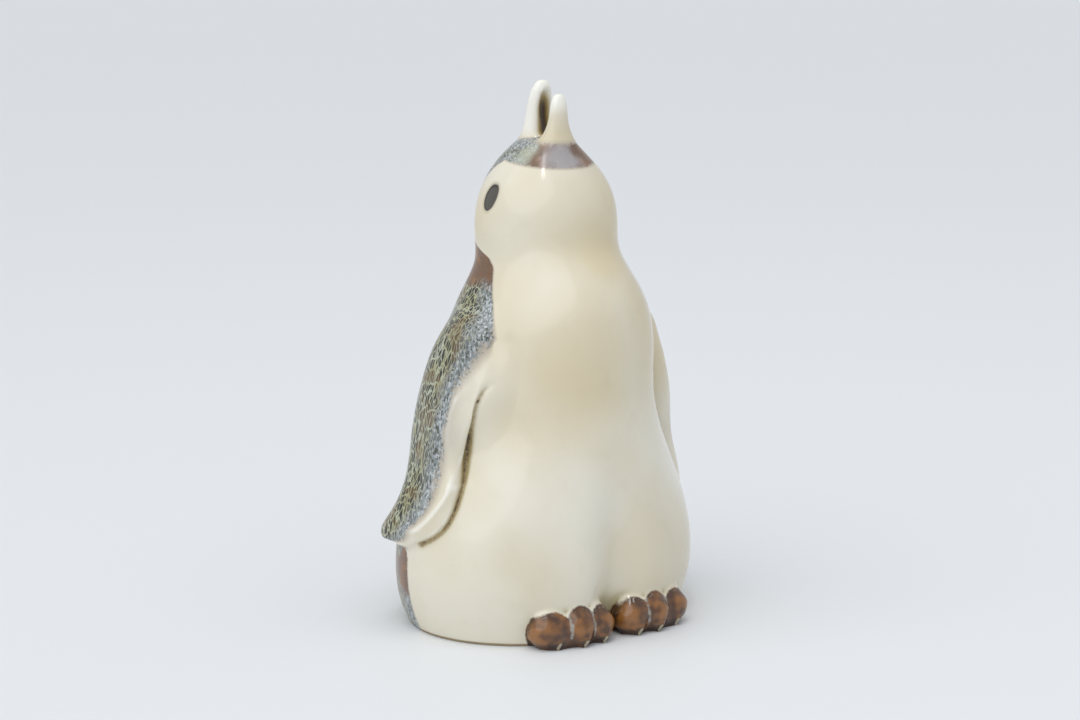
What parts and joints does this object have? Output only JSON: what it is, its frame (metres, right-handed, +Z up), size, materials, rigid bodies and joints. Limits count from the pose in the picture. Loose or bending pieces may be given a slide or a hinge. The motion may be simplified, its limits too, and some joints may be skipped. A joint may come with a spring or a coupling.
{
  "type": "penguin figurine",
  "caption": "Seated penguin figurine in glazed stoneware with raised open beak, flippers along its sides and clawed feet, made to stand on a shelf.",
  "frame": {"origin": "on the table under the middle of the body, in the flat underside", "axes": "+Z up, the penguin faces -Y, +X is its left side"},
  "size_m": [0.1, 0.0825, 0.165],
  "materials": {
    "cream_glaze": "glossy cream glaze on stoneware",
    "feather_glaze": "glossy mottled brown and olive glaze",
    "brown_glaze": "glossy chocolate brown glaze",
    "eye_glaze": "satin dark brown-grey glaze"
  },
  "bodies": {
    "root": {"trunk_shell": "cream_glaze", "head_shell": "cream_glaze", "upper_beak": "cream_glaze", "lower_beak": "cream_glaze", "left_flipper": "feather_glaze", "right_flipper": "feather_glaze", "left_foot": "brown_glaze", "right_foot": "brown_glaze", "left_eye": "eye_glaze", "right_eye": "eye_glaze"}
  },
  "joints": []
}
